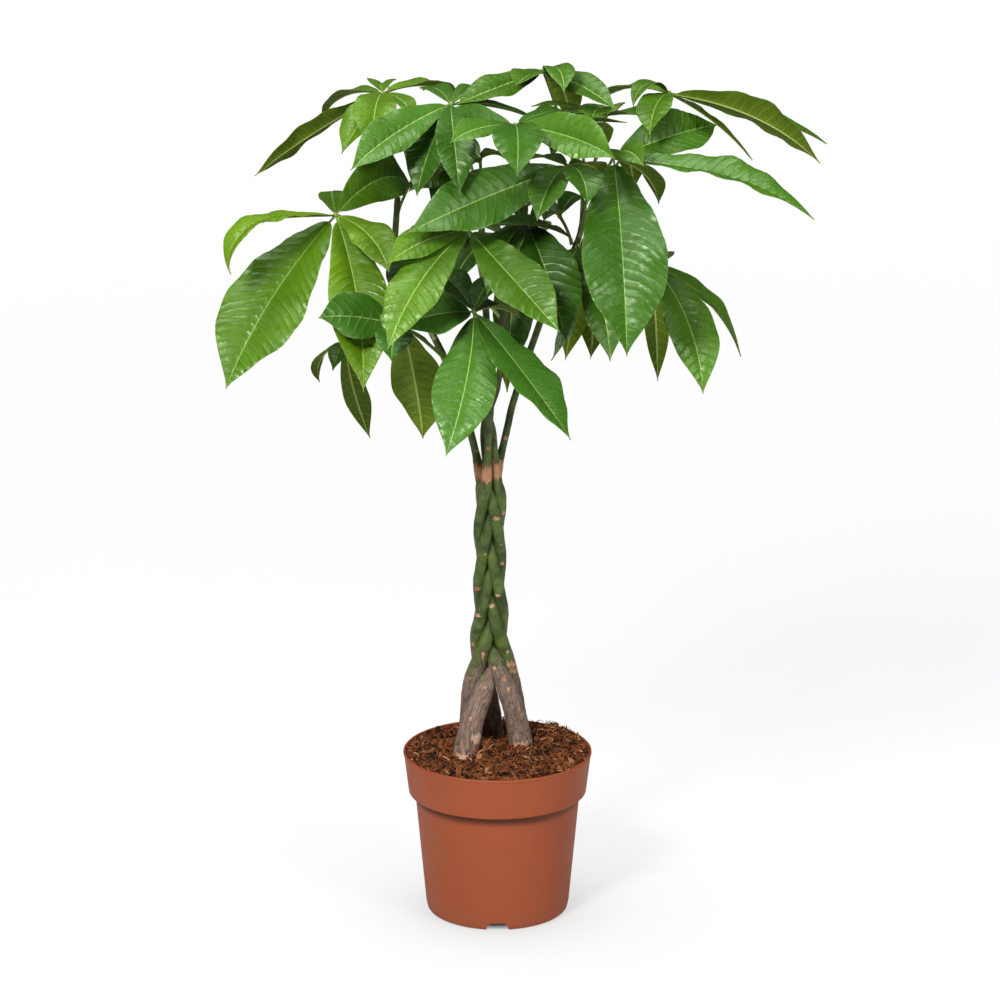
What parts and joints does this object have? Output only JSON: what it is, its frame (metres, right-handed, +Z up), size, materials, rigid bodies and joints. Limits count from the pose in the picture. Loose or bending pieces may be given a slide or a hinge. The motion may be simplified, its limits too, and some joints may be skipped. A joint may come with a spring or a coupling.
{
  "type": "potted money tree houseplant",
  "caption": "Houseplant with plaited green stems and palmate leaves, standing in a round tapered terracotta-coloured nursery pot filled with coir.",
  "frame": {"origin": "centre of the pot's flat underside, where the plant stands", "axes": "+Z up along the pot's axis, -Y towards the front, +X to the right seen from the front"},
  "size_m": [0.5303, 0.4182, 0.7816],
  "materials": {
    "pot_plastic": "matt terracotta-coloured moulded plastic",
    "coir": "loose coir and bark fibre",
    "bark": "thin green-brown living bark",
    "leaf": "waxy green leaf with a paler underside"
  },
  "bodies": {
    "root": {"pot": "pot_plastic", "soil": "coir", "trunk_1": "bark", "trunk_2": "bark", "trunk_3": "bark", "trunk_4": "bark", "trunk_5": "bark", "leaf_01": "leaf", "leaf_02": "leaf", "leaf_03": "leaf", "leaf_04": "leaf", "leaf_05": "leaf", "leaf_06": "leaf", "leaf_07": "leaf", "leaf_08": "leaf", "leaf_09": "leaf", "leaf_10": "leaf", "leaf_11": "leaf", "leaf_12": "leaf", "leaf_13": "leaf", "leaf_14": "leaf", "leaf_15": "leaf", "leaf_16": "leaf", "leaf_17": "leaf", "leaf_18": "leaf", "leaf_19": "leaf", "leaf_20": "leaf", "leaf_21": "leaf", "leaf_22": "leaf", "leaf_23": "leaf"}
  },
  "joints": []
}
